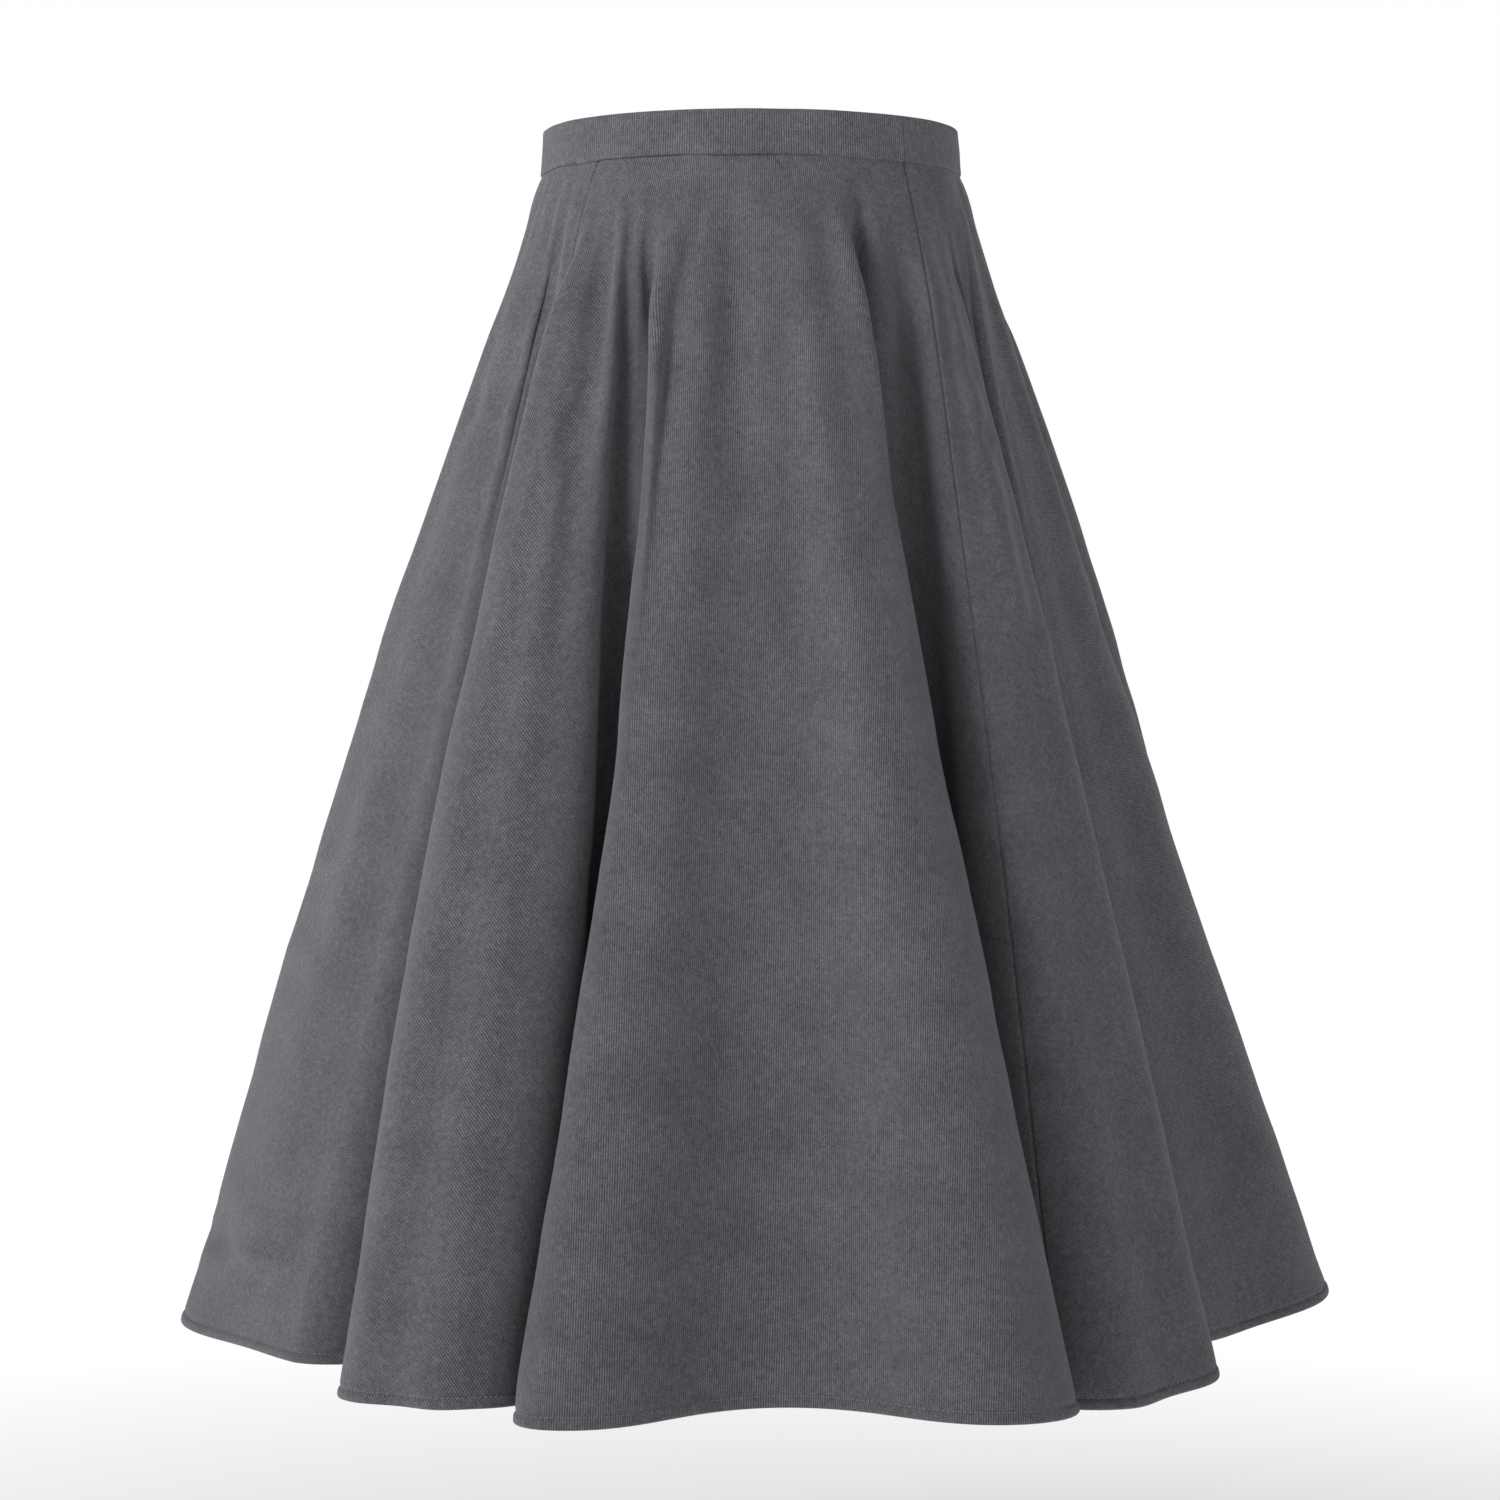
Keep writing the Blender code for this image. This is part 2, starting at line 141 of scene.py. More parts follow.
def bendFor(reach, start, end, span, bend):
    # The two bends that carry a curve of this length over this distance between two headings
    t = (np.arange(64) + 0.5) / 64
    base = start + (end - start) * t
    wave, ripple = np.sin(math.pi * t), np.sin(3 * math.pi * t)
    bend = np.array(bend)
    for _ in range(60):
        heading = base + bend[0] * wave + bend[1] * ripple
        run, rise = np.cos(heading), np.sin(heading)
        miss = np.array([span * run.mean() - reach[0], span * rise.mean() - reach[1]])
        if np.hypot(*miss) < 1e-8:
            break
        slope = span * np.array([
            [-(rise * wave).mean(), -(rise * ripple).mean()],
            [(run * wave).mean(), (run * ripple).mean()],
        ])
        step = np.linalg.solve(slope.T @ slope + 1e-9 * np.eye(2), -slope.T @ miss)
        bend += step * min(1.0, 0.3 / max(1e-12, np.abs(step).max()))
    return tuple(bend), float(np.hypot(*miss))


def anchorSpot(fold, share):
    x, y, _ = waistPlace(fold.waist)
    out = share + fold.bow * share * (1 - share)
    return x + (fold.x / 1000 - x) * out, y + (fold.y / 1000 - y) * out


def anchorsAt(share):
    radius = waistRadius + length * share
    spots = [anchorSpot(fold, share) for fold in folds]
    places = []
    for index, fold in enumerate(folds):
        x, y = spots[index]
        if fold.late != 1.0:
            # A fold bottom stays near the line between its two crests at first, and sinks in later
            before, after = folds[index - 1], folds[(index + 1) % len(folds)]
            now = (np.array(spots[index - 1]) + np.array(spots[(index + 1) % len(folds)])) / 2
            top = (np.array(anchorSpot(before, 0.0)) + np.array(anchorSpot(after, 0.0))) / 2
            foot = np.array([before.x + after.x, before.y + after.y]) / 2000
            x, y = now + (np.array(anchorSpot(fold, 0.0)) - top) * (1 - share)
            sink = share**fold.late
            x += (fold.x / 1000 - foot[0]) * sink
            y += (fold.y / 1000 - foot[1]) * sink
        heading = waistPlace(fold.waist)[2]
        heading += (fold.heading - heading) * smoothStep(share / skirt["foldStart"])
        places.append((flatAngle(fold.waist, fold.hem, radius), x, y, heading, fold.dip / 1000 * share**2))
    angle, x, y, heading, dip = places[0]
    return places + [(angle + 360, x, y, heading + 360, dip)]


def ringAt(share, bends):
    # Flat angle, x, y and z round one ring of cloth; bends holds the last ring's, as a first guess
    radius = waistRadius + length * share
    slackShare = smoothStep(skirt["slackStart"] + share / skirt["slackReach"])
    places = anchorsAt(share)
    steps = skirt["curveSteps"]
    t = np.linspace(0, 1, steps + 1)
    ring = []
    for index, (here, there) in enumerate(zip(places, places[1:])):
        reach = (there[1] - here[1], there[2] - here[2])
        straight = math.hypot(*reach)
        middle = math.radians((here[3] + there[3]) / 2)
        across = (reach[0] * math.sin(middle) - reach[1] * math.cos(middle)) / straight
        least = 1 + skirt["straightSpare"] + skirt["turnedSpare"] * across * across
        most = 1 + (folds[index].slack - 1) * slackShare
        span = radius * math.radians(there[0] - here[0])
        span = max(least, min(span / straight, most)) * straight
        start, end = math.radians(here[3]), math.radians(there[3])
        bend, miss = bendFor(reach, start, end, span, bends[index])
        if miss < 1e-5:
            bends[index] = bend
        heading = start + (end - start) * t
        heading += bend[0] * np.sin(math.pi * t) + bend[1] * np.sin(3 * math.pi * t)
        run, rise = np.cos(heading), np.sin(heading)
        x = here[1] + span / steps * np.append(0, np.cumsum((run[1:] + run[:-1]) / 2))
        y = here[2] + span / steps * np.append(0, np.cumsum((rise[1:] + rise[:-1]) / 2))
        x += (there[1] - x[-1]) * t
        y += (there[2] - y[-1]) * t
        dip = here[4] + (there[4] - here[4]) * (1 - np.cos(math.pi * t)) / 2
        angle = here[0] + (there[0] - here[0]) * t
        ring.append(np.stack([angle, x, y, -skirt["drop"] * share - dip], axis=1)[:-1])
    return np.concatenate(ring)


def allRings():
    following = folds[1:] + folds[:1]
    bends = [(float(here.crest - there.crest), 0.0) for here, there in zip(folds, following)]
    rings = [ringAt(share, bends) for share in np.linspace(1, 0, skirt["levels"])]
    angles = rings[-1][:, 0]
    places = [waistPlace(angle) for angle in angles]
    rings[-1] = np.array([(angle, place[0], place[1], 0.0) for angle, place in zip(angles, places)])
    return rings[::-1]


rings = allRings()
print("rings of cloth worked out:", len(rings))


def onRing(ring, angles):
    laps = np.concatenate([ring[:, 0] - 360, ring[:, 0], ring[:, 0] + 360])
    return np.stack([np.interp(angles, laps, np.tile(ring[:, axis], 3)) for axis in (1, 2, 3)], axis=1)


def ringPoints(share, angles):
    level = min(max(share, 0.0), 1.0) * (skirt["levels"] - 1)
    lower = min(int(level), skirt["levels"] - 2)
    mix = level - lower
    points = onRing(rings[lower], angles) * (1 - mix) + onRing(rings[lower + 1], angles) * mix
    points[:, 2] += waistTop
    return points


def clothPoints(share, angles):
    points = ringPoints(share, angles)
    # Under the band the cloth lies smooth, and the folds come in softly below it
    calm = 1 - float(smoothStep((share - skirt["calmFrom"]) / skirt["calmReach"]))
    if calm <= 0:
        return points
    soft = np.zeros_like(points)
    for turn, weight in skirt["calmSpread"]:
        soft += weight * (ringPoints(share, angles + turn) - ringPoints(0.0, angles + turn))
    return points * (1 - calm) + (ringPoints(0.0, angles) + soft) * calm


def clothNormals(share, angles):
    radius = waistRadius + length * share
    nudge = math.degrees(0.0025 / radius)
    along = clothPoints(share, angles + nudge) - clothPoints(share, angles - nudge)
    down = clothPoints(share + 0.012, angles) - clothPoints(share - 0.012, angles)
    normals = np.cross(down, along)
    return normals / np.linalg.norm(normals, axis=1, keepdims=True)


# Smaller creases in the cloth, troughs below zero and ridges above, each placed one by one:
# flat angle at waist and at hem, where it starts and ends below the waist, half width and depth, in mm
Crease = namedtuple("Crease", "waist hem start end wide deep")
creases = (
    # right front, seen at the left of the front view
    Crease(-43.9, -32.5, 20, 360, 10, -8.0),
    Crease(-59.5, -59.8, 34, 330, 7, -5.5),
    Crease(-51.0, -41.0, 26, 420, 10, 3.2),
    Crease(-30.0, -22.0, 44, 210, 9, -1.8),
    Crease(-38.5, -34.5, 300, 690, 16, -1.8),
    Crease(-49.5, -41.5, 330, 720, 18, 1.8),
    # centre front
    Crease(-32.9, -4.0, 40, 330, 6, 4.6),
    Crease(-38.6, -9.2, 38, 280, 7, -5.2),
    Crease(-5.0, 1.0, 16, 290, 13, -5.4),
    Crease(6.0, 5.5, 26, 160, 9, 2.0),
    Crease(17.0, 11.0, 60, 260, 12, -1.3),
    Crease(-15.0, -9.8, 330, 730, 20, -1.6),
    Crease(16.0, 8.2, 380, 745, 22, -1.5),
    Crease(9.0, 4.6, 250, 620, 18, 1.3),
    # left front, on to the zip seam
    Crease(34.0, 26.0, 8, 240, 7, -7.5),
    Crease(26.0, 19.0, 10, 260, 7, 3.6),
    Crease(46.0, 44.5, 40, 300, 11, -1.4),
    Crease(48.0, 47.0, 300, 700, 18, 1.6),
    Crease(58.0, 55.5, 22, 330, 6, 3.2),
    Crease(66.0, 62.5, 26, 290, 7, -5.2),
    # left side and back
    Crease(73.5, 79.0, 10, 260, 7, 1.4),
    Crease(82.0, 90.5, 16, 330, 10, -1.8),
    Crease(90.5, 100.0, 120, 560, 15, 1.6),
    Crease(101.0, 114.0, 10, 240, 9, -1.7),
    Crease(112.0, 127.0, 200, 640, 15, 1.7),
    Crease(126.0, 139.0, 12, 290, 10, -1.8),
    Crease(129.5, 143.5, 300, 690, 16, -1.6),
    Crease(140.0, 152.0, 20, 330, 11, 1.7),
    Crease(152.5, 162.0, 8, 210, 9, -1.8),
    Crease(162.0, 171.0, 240, 700, 17, 1.5),
    Crease(166.5, 174.0, 14, 300, 9, -1.7),
    Crease(190.0, 194.0, 10, 280, 10, -1.9),
    Crease(182.0, 186.0, 330, 730, 18, -1.5),
    Crease(204.5, 207.0, 16, 360, 12, 1.6),
    Crease(215.5, 217.0, 10, 200, 8, -1.8),
    Crease(219.0, 219.5, 280, 650, 16, 1.5),
    Crease(231.0, 230.5, 12, 320, 12, -1.8),
    Crease(242.5, 241.0, 60, 480, 13, 1.6),
    Crease(255.0, 255.5, 10, 260, 9, -1.7),
    Crease(264.0, 266.0, 260, 690, 17, -1.6),
    # right side
    Crease(275.5, 279.0, 10, 230, 9, 1.5),
    Crease(286.0, 289.0, 20, 340, 12, -1.9),
    Crease(290.0, 294.0, 320, 720, 18, 1.6),
    Crease(298.5, 303.0, 14, 250, 10, -1.6),
)

# Unevenness of cloth that has hung: soft long dents, and small puckers under the band
uneven = {"seed": 7, "lift": 0.0007, "around": 66, "down": 9, "pucker": 0.0005, "puckerReach": 0.030}

dents = np.random.RandomState(uneven["seed"])
dentGrid = dents.normal(0.0, 1.0, (uneven["down"] + 3, uneven["around"]))
fineGrid = dents.normal(0.0, 1.0, (uneven["down"] * 3 + 3, uneven["around"] * 2))
puckerGrid = dents.normal(0.0, 1.0, (1, 64))


def fromGrid(grid, angles, share):
    # Smooth lookup in a wrapped grid of bumps
    rows, around = grid.shape
    column = (np.asarray(angles) % 360) / 360 * around
    left = np.floor(column).astype(int)
    acrossMix = smoothStep(column - left)
    row = share * (rows - 2) if rows > 2 else 0.0
    upper = int(row)
    downMix = float(smoothStep(row - upper))
    lowerRow = min(upper + 1, rows - 1)
    here, there = left % around, (left + 1) % around
    above = grid[upper, here] * (1 - acrossMix) + grid[upper, there] * acrossMix
    below = grid[lowerRow, here] * (1 - acrossMix) + grid[lowerRow, there] * acrossMix
    return above * (1 - downMix) + below * downMix


def creaseLift(share, angles):
    # How far the cloth stands off its smooth form, in metres
    radius = waistRadius + length * share
    below = share * length * 1000
    lift = np.zeros(len(angles))
    for crease in creases:
        if not crease.start < below < crease.end:
            continue
        run = (below - crease.start) / (crease.end - crease.start)
        fade = float(smoothStep(run / 0.22) * smoothStep((1 - run) / 0.6))
        line = flatAngle(crease.waist, crease.hem, radius)
        away = ((angles - line + 180) % 360 - 180) * math.pi / 180 * radius * 1000
        lift += crease.deep / 1000 * fade * np.exp(-(away / crease.wide) ** 2)
    settle = float(smoothStep(share / 0.06))
    lift += uneven["lift"] * settle * fromGrid(dentGrid, angles, share)
    lift += uneven["lift"] * 0.45 * settle * fromGrid(fineGrid, angles + 1.7, share)
    reach = share * length / uneven["puckerReach"]
    if reach < 1:
        lift += uneven["pucker"] * 4 * reach * (1 - reach) * fromGrid(puckerGrid, angles, 0.0)
    return lift


def bentCloth(share, angles):
    # Middle of the cloth with its creases, and its outward normals
    normals = clothNormals(share, angles)
    return clothPoints(share, angles) + normals * creaseLift(share, angles)[:, None], normals


# The panels, in metres: where their rows lie below the waist and above the hem's edge, how their
# seam edges roll in, and how the hem is turned up
panelCut = {
    "topRows": (0.0, 0.0015, 0.003, 0.005, 0.0075, 0.0105, 0.014, 0.018, 0.0225, 0.0275, 0.033, 0.039,
                0.0455),
    "rowStep": 0.0085,
    "hemZone": 0.016,
    "hemRows": (0.0128, 0.0106, 0.0098, 0.0088, 0.0079, 0.0072, 0.0065, 0.0058, 0.0051, 0.0042, 0.0030,
                0.0019, 0.0011, 0.0006, 0.0002, 0.0),
    "columnsPerHalfFold": {"front": 35, "left": 32, "right": 37},
    "bunching": 0.35,
    "seamSteps": (0.00006, 0.0003, 0.0007, 0.0013, 0.0021, 0.0032, 0.0050),
    "seamRoll": 0.0011,
    "seamRollReach": 0.0022,
    "topTuck": 0.0004,       # how far the top edge goes up behind the band's lower edge
    "hemTurn": 0.010,
    "hemExtra": 0.0010,
    "stitchUp": 0.0065,      # hem stitching above the edge
    "stitchGroove": 0.00075,
    "grooveWidth": 0.0011,
    "hemPuff": 0.00065,
    "edgeRound": 0.0012,
    "edgeInset": 0.00125,
}


def columnAngles(first, last, share, columns):
    # Columns keep to the fold lines and crowd at the seams, where the edge rolls in
    radius = waistRadius + length * share
    steps = np.degrees(np.array(panelCut["seamSteps"]) / radius)
    lines = [flatAngle(fold.waist, fold.hem, radius) + lap for lap in (-360, 0, 360) for fold in folds]
    hemLines = [fold.hem + lap for lap in (-360, 0, 360) for fold in folds]
    inside = [line for line, atHem in zip(lines, hemLines) if first + 1.2 < atHem < last - 1.2]
    stops = [first + steps[-1]] + inside + [last - steps[-1]]
    angles = list(first + steps[:-1])
    even = np.arange(columns) / columns
    bunched = even - panelCut["bunching"] * np.sin(2 * math.pi * even) / (2 * math.pi)
    for here, there in zip(stops, stops[1:]):
        angles.extend(here + (there - here) * bunched)
    return np.array(angles + [stops[-1]] + list(last - steps[:-1][::-1]))


def panelRows():
    top = list(panelCut["topRows"])
    bodyEnd = length - panelCut["hemZone"]
    count = int((bodyEnd - top[-1]) / panelCut["rowStep"])
    body = list(np.linspace(top[-1], bodyEnd, count + 1))[1:]
    return [below / length for below in top + body + [length - up for up in panelCut["hemRows"]]]


def hemShape(up):
    # How far the outer and inner sides of the wall stand out at this height above the hem's edge
    cut = panelCut
    across = (up - cut["stitchUp"]) / cut["grooveWidth"]
    groove = cut["stitchGroove"] * math.exp(-across * across)
    puff, rounding = 0.0, 0.0
    if up < cut["stitchUp"]:
        puff = cut["hemPuff"] * math.sin(math.pi * up / cut["stitchUp"]) ** 0.7
    if up < cut["edgeRound"]:
        inward = 1 - up / cut["edgeRound"]
        rounding = cut["edgeInset"] * (1 - math.sqrt(max(0.0, 1 - inward**2)))
    turnedUp = cut["hemExtra"] * float(smoothStep((cut["hemTurn"] + 0.0004 - up) / 0.0008))
    return puff - groove - rounding, turnedUp + 0.6 * puff - 0.8 * groove - rounding


def flatUv(share, angles):
    radius = waistRadius + length * share
    turned = np.radians(angles)
    return np.stack([radius * np.sin(turned), -radius * np.cos(turned)], axis=1)


def gridObject(name, outer, inner, uv, materials, innerRows=0):
    # One closed wall between two grids of points, rows down and columns along; the inner side's
    # first rows take the second material
    rows, columns = outer.shape[:2]
    count = rows * columns
    index = np.arange(count).reshape(rows, columns)
    a, b, c, d = index[:-1, :-1], index[1:, :-1], index[1:, 1:], index[:-1, 1:]
    skin = np.stack([a, b, c, d], axis=-1).reshape(-1, 4)
    faces = [skin, skin[:, [0, 3, 2, 1]] + count]
    for rim in (index[0], index[-1, ::-1], index[::-1, 0], index[:, -1]):
        faces.append(np.stack([rim[:-1], rim[1:], rim[1:] + count, rim[:-1] + count], axis=-1))
    faces = np.concatenate(faces)
    points = np.concatenate([outer.reshape(-1, 3), inner.reshape(-1, 3)])
    mesh = bpy.data.meshes.new(name)
    mesh.vertices.add(len(points))
    mesh.vertices.foreach_set("co", points.astype(np.float32).ravel())
    mesh.loops.add(faces.size)
    mesh.loops.foreach_set("vertex_index", faces.astype(np.int32).ravel())
    mesh.polygons.add(len(faces))
    mesh.polygons.foreach_set("loop_start", np.arange(0, faces.size, 4, dtype=np.int32))
    inside = np.zeros(len(faces), dtype=np.int32)
    inside[len(skin):len(skin) + innerRows * (columns - 1)] = 1
    mesh.polygons.foreach_set("material_index", inside)
    layer = mesh.uv_layers.new(name="flat")
    corners = np.tile(uv.reshape(-1, 2), (2, 1))[faces.ravel()]
    layer.data.foreach_set("uv", corners.astype(np.float32).ravel())
    for material in materials:
        mesh.materials.append(material)
    mesh.update(calc_edges=True)
    mesh.validate()
    mesh.shade_smooth()
    return placed(name, mesh)


# Where each panel's hem stitching runs, kept as the panel is made
stitchLines = {}


def addPanel(name, first, last, columns, materials):
    rows = panelRows()
    outer, inner, uv = [], [], []
    half = skirt["wall"] / 2
    for share in rows:
        angles = columnAngles(first, last, share, columns)
        middle, normals = bentCloth(share, angles)
        radius = waistRadius + length * share
        fromSeam = np.minimum(angles - first, last - angles) * math.pi / 180 * radius
        roll = panelCut["seamRoll"] * (1 - smoothStep(fromSeam / panelCut["seamRollReach"])) ** 1.4
        up = length * (1 - share)
        outerLift, innerLift = hemShape(up)
        outer.append(middle + normals * (half + outerLift - roll)[:, None])
        inner.append(middle - normals * (half + innerLift))
        uv.append(flatUv(share, angles))
    outer, inner, uv = np.array(outer), np.array(inner), np.array(uv)
    for wall in (outer, inner):
        wall[0][:, 2] = waistTop + panelCut["topTuck"]
    ups = [length * (1 - share) for share in rows]
    turnedUp = sum(up > panelCut["hemTurn"] for up in ups)
    piece = gridObject(name, outer, inner, uv, materials, turnedUp)
    stitched = int(np.argmin([abs(up - panelCut["stitchUp"]) for up in ups]))
    stitchLines[name] = (outer[stitched], inner[stitched], normals)
    print(name, "has", len(piece.data.polygons), "faces")
    return piece


# Colours and finish of the cloth; the groove colour, nearly black, is the cloth between the wales with
# painted shade in it; pitch is from one wale to the next, in metres
cordLook = {
    "skirt": {"ridge": (0.202, 0.196, 0.218, 1.0), "groove": (0.006, 0.006, 0.007, 1.0), "pitch": 0.00125},
    "band": {"ridge": (0.206, 0.196, 0.219, 1.0), "groove": (0.008, 0.007, 0.009, 1.0), "pitch": 0.00145},
    "stray": 0.00026,
    "roughness": (0.84, 0.97),
    "sheen": 0.35,
    "sheenRoughness": 0.4,
    "sheenTint": (0.80, 0.80, 0.86, 1.0),
    "blotch": 0.20,
    "bump": 0.9,
    "bumpDepth": 0.00045,
}


class Shader:
    # A short way to wire a material's nodes
    def __init__(self, name):
        self.material = bpy.data.materials.new(name)
        self.material.use_nodes = True
        self.tree = self.material.node_tree
        self.surface = self.tree.nodes["Principled BSDF"]

    def add(self, kind, **settings):
        node = self.tree.nodes.new(kind)
        for key, value in settings.items():
            setattr(node, key, value)
        return node

    def put(self, socket, value):
        if hasattr(value, "is_output"):
            self.tree.links.new(value, socket)
        else:
            socket.default_value = value

    def math(self, operation, a, b=0.0, c=0.0):
        node = self.add("ShaderNodeMath", operation=operation)
        for socket, value in zip(node.inputs, (a, b, c)):
            self.put(socket, value)
        return node.outputs[0]

    def noise(self, where, scale, detail=2.0, roughness=0.5):
        node = self.add("ShaderNodeTexNoise")
        self.put(node.inputs["Vector"], where)
        node.inputs["Scale"].default_value = scale
        node.inputs["Detail"].default_value = detail
        node.inputs["Roughness"].default_value = roughness
        return node.outputs[0]

    def stretched(self, where, scale):
        node = self.add("ShaderNodeMapping")
        self.put(node.inputs["Vector"], where)
        node.inputs["Scale"].default_value = scale
        return node.outputs[0]

    def mixed(self, share, first, second):
        node = self.add("ShaderNodeMix", data_type="RGBA")
        self.put(node.inputs["Factor"], share)
        self.put(node.inputs[6], first)
        self.put(node.inputs[7], second)
        return node.outputs[2]

    def flatPlace(self):
        # The place on the flat cloth, whole and as its two parts
        uv = self.add("ShaderNodeUVMap", uv_map="flat").outputs[0]
        parts = self.add("ShaderNodeSeparateXYZ")
        self.put(parts.inputs[0], uv)
        return uv, parts.outputs[0], parts.outputs[1]

    def ribs(self, place, pitch):
        # Rounded ribs, from 0 between them to 1 on top
        return self.math("ABSOLUTE", self.math("SINE", self.math("MULTIPLY", place, math.pi / pitch)))

    def bumped(self, height, strength, distance):
        bump = self.add("ShaderNodeBump")
        bump.inputs["Strength"].default_value = strength
        bump.inputs["Distance"].default_value = distance
        self.put(bump.inputs["Height"], height)
        self.put(self.surface.inputs["Normal"], bump.outputs[0])

    def finish(self, values):
        for name, value in values.items():
            self.surface.inputs[name].default_value = value

    def remap(self, value, low, high, newLow, newHigh):
        node = self.add("ShaderNodeMapRange")
        for socket, number in zip(node.inputs, (value, low, high, newLow, newHigh)):
            self.put(socket, number)
        return node.outputs[0]


def cordMaterial(name, part):
    look, own = cordLook, cordLook[part]
    s = Shader(name)
    uv, sideways, _ = s.flatPlace()
    objectPlace = s.add("ShaderNodeTexCoord").outputs["Object"]
    # The wales run down the cloth and stray a little from side to side
    stray = s.noise(s.stretched(uv, (160.0, 40.0, 1.0)), 1.0, 1.0)
    across = s.math("MULTIPLY_ADD", stray, look["stray"], sideways)
    wale = s.math("POWER", s.ribs(across, own["pitch"]), 0.6)
    # Tufts of pile along each wale, with darker gaps between them
    tufts = s.noise(s.stretched(uv, (1700.0, 900.0, 1.0)), 1.0, 2.0, 0.6)
    tuft = s.remap(tufts, 0.32, 0.68, 0.0, 1.0)
    flecks = s.remap(s.noise(s.stretched(uv, (520.0, 260.0, 1.0)), 1.0, 2.0, 0.6), 0.3, 0.7, 0.72, 1.12)
    pile = s.math("MULTIPLY", s.math("MULTIPLY", wale, flecks), s.math("MULTIPLY_ADD", tuft, 0.62, 0.5))
    # Nap brushed one way and the other, in soft blotches
    brushed = s.noise(objectPlace, 30.0, 3.0, 0.6)
    worn = s.noise(objectPlace, 210.0, 3.0, 0.6)
    blotches = s.math("ADD", s.math("MULTIPLY", brushed, 0.45), s.math("MULTIPLY", worn, 0.55))
    toned = s.add("ShaderNodeVectorMath", operation="SCALE")
    # The colour runs from the groove colour, which is painted shade between the wales, up to the ridge
    # colour on top of each wale; where the tufts part, it also goes towards that painted shade
    s.put(toned.inputs[0], s.mixed(pile, own["groove"], own["ridge"]))
    s.put(toned.inputs["Scale"], s.remap(blotches, 0.35, 0.65, 1 - look["blotch"], 1 + look["blotch"]))
    s.put(s.surface.inputs["Base Color"], toned.outputs[0])
    smooth, rough = look["roughness"]
    s.put(s.surface.inputs["Roughness"], s.remap(brushed, 0.3, 0.7, smooth, rough))
    s.bumped(s.math("MULTIPLY_ADD", worn, 0.8, pile), look["bump"], look["bumpDepth"])
    s.finish({"Sheen Weight": look["sheen"], "Sheen Roughness": look["sheenRoughness"],
              "Sheen Tint": look["sheenTint"], "Specular IOR Level": 0.25})
    return s.material


def reverseMaterial(name):
    # The back of needlecord is a flat fine twill
    pitch = 0.0006
    s = Shader(name)
    _, across, down = s.flatPlace()
    twill = s.ribs(s.math("ADD", across, down), pitch)
    weave = s.math("MULTIPLY", twill, s.math("MULTIPLY_ADD", s.ribs(down, pitch), 0.5, 0.5))
    cloud = s.noise(s.add("ShaderNodeTexCoord").outputs["Object"], 30.0, 3.0)
    share = s.math("ADD", s.math("MULTIPLY", weave, 0.6), s.math("MULTIPLY", cloud, 0.4))
    dark, light = (0.052, 0.051, 0.057, 1.0), (0.100, 0.098, 0.107, 1.0)
    s.put(s.surface.inputs["Base Color"], s.mixed(share, dark, light))
    s.bumped(weave, 0.5, 0.0002)
    s.finish({"Roughness": 0.93, "Sheen Weight": 0.2, "Sheen Roughness": 0.6, "Specular IOR Level": 0.2})
    return s.material


def threadMaterial(name, dark, light):
    s = Shader(name)
    fibres = s.noise(s.add("ShaderNodeTexCoord").outputs["Object"], 1800.0, 2.0, 0.7)
    s.put(s.surface.inputs["Base Color"], s.mixed(s.remap(fibres, 0.3, 0.7, 0.0, 1.0), dark, light))
    s.finish({"Roughness": 0.6, "Sheen Weight": 0.35, "Sheen Roughness": 0.4})
    return s.material


needlecord = cordMaterial("needlecord", "skirt")
bandNeedlecord = cordMaterial("band needlecord", "band")
clothBack = reverseMaterial("cloth back")
thread = threadMaterial("sewing thread", (0.129, 0.127, 0.138, 1.0), (0.235, 0.230, 0.250, 1.0))
print("materials made")

side, back = skirt["sideSeam"], skirt["centreBack"]
cloth, columns = [needlecord, clothBack], panelCut["columnsPerHalfFold"]
frontPanel = addPanel("front_panel_cloth", -side, side, columns["front"], cloth)
leftPanel = addPanel("back_panel_left_cloth", side, back, columns["left"], cloth)
rightPanel = addPanel("back_panel_right_cloth", back, 360 - side, columns["right"], cloth)
print("panels made")

# Inside: each seam's allowances lie pressed open, and stop at the turned-up hem; in metres
allowance = {
    "wide": 0.012,
    "thick": 0.0010,
    "clear": 0.00015,
    "rows": 90,
    "steps": (0.0004, 0.0012, 0.003, 0.006, 0.009, 0.0108, 0.0116, 0.012),
    "edgeRound": 0.0006,
    "edgeWave": 0.0004,
    "zipEnd": 0.186,
    "overHem": 0.002,
}


def joined(name, pieces):
    # One object out of several, with their places kept in its mesh
    vertices, faces, uvs = [], [], []
    for piece in pieces:
        base = len(vertices)
        vertices += [tuple(vertex.co) for vertex in piece.data.vertices]
        faces += [tuple(base + k for k in face.vertices) for face in piece.data.polygons]
        uvs += [tuple(corner.uv) for corner in piece.data.uv_layers["flat"].data]
    mesh = bpy.data.meshes.new(name)
    mesh.from_pydata(vertices, [], faces)
    mesh.uv_layers.new(name="flat").data.foreach_set("uv", np.array(uvs, dtype=np.float32).ravel())
    mesh.materials.append(pieces[0].data.materials[0])
    mesh.shade_smooth()
    for piece in pieces:
        bpy.data.objects.remove(piece)
    return placed(name, mesh)


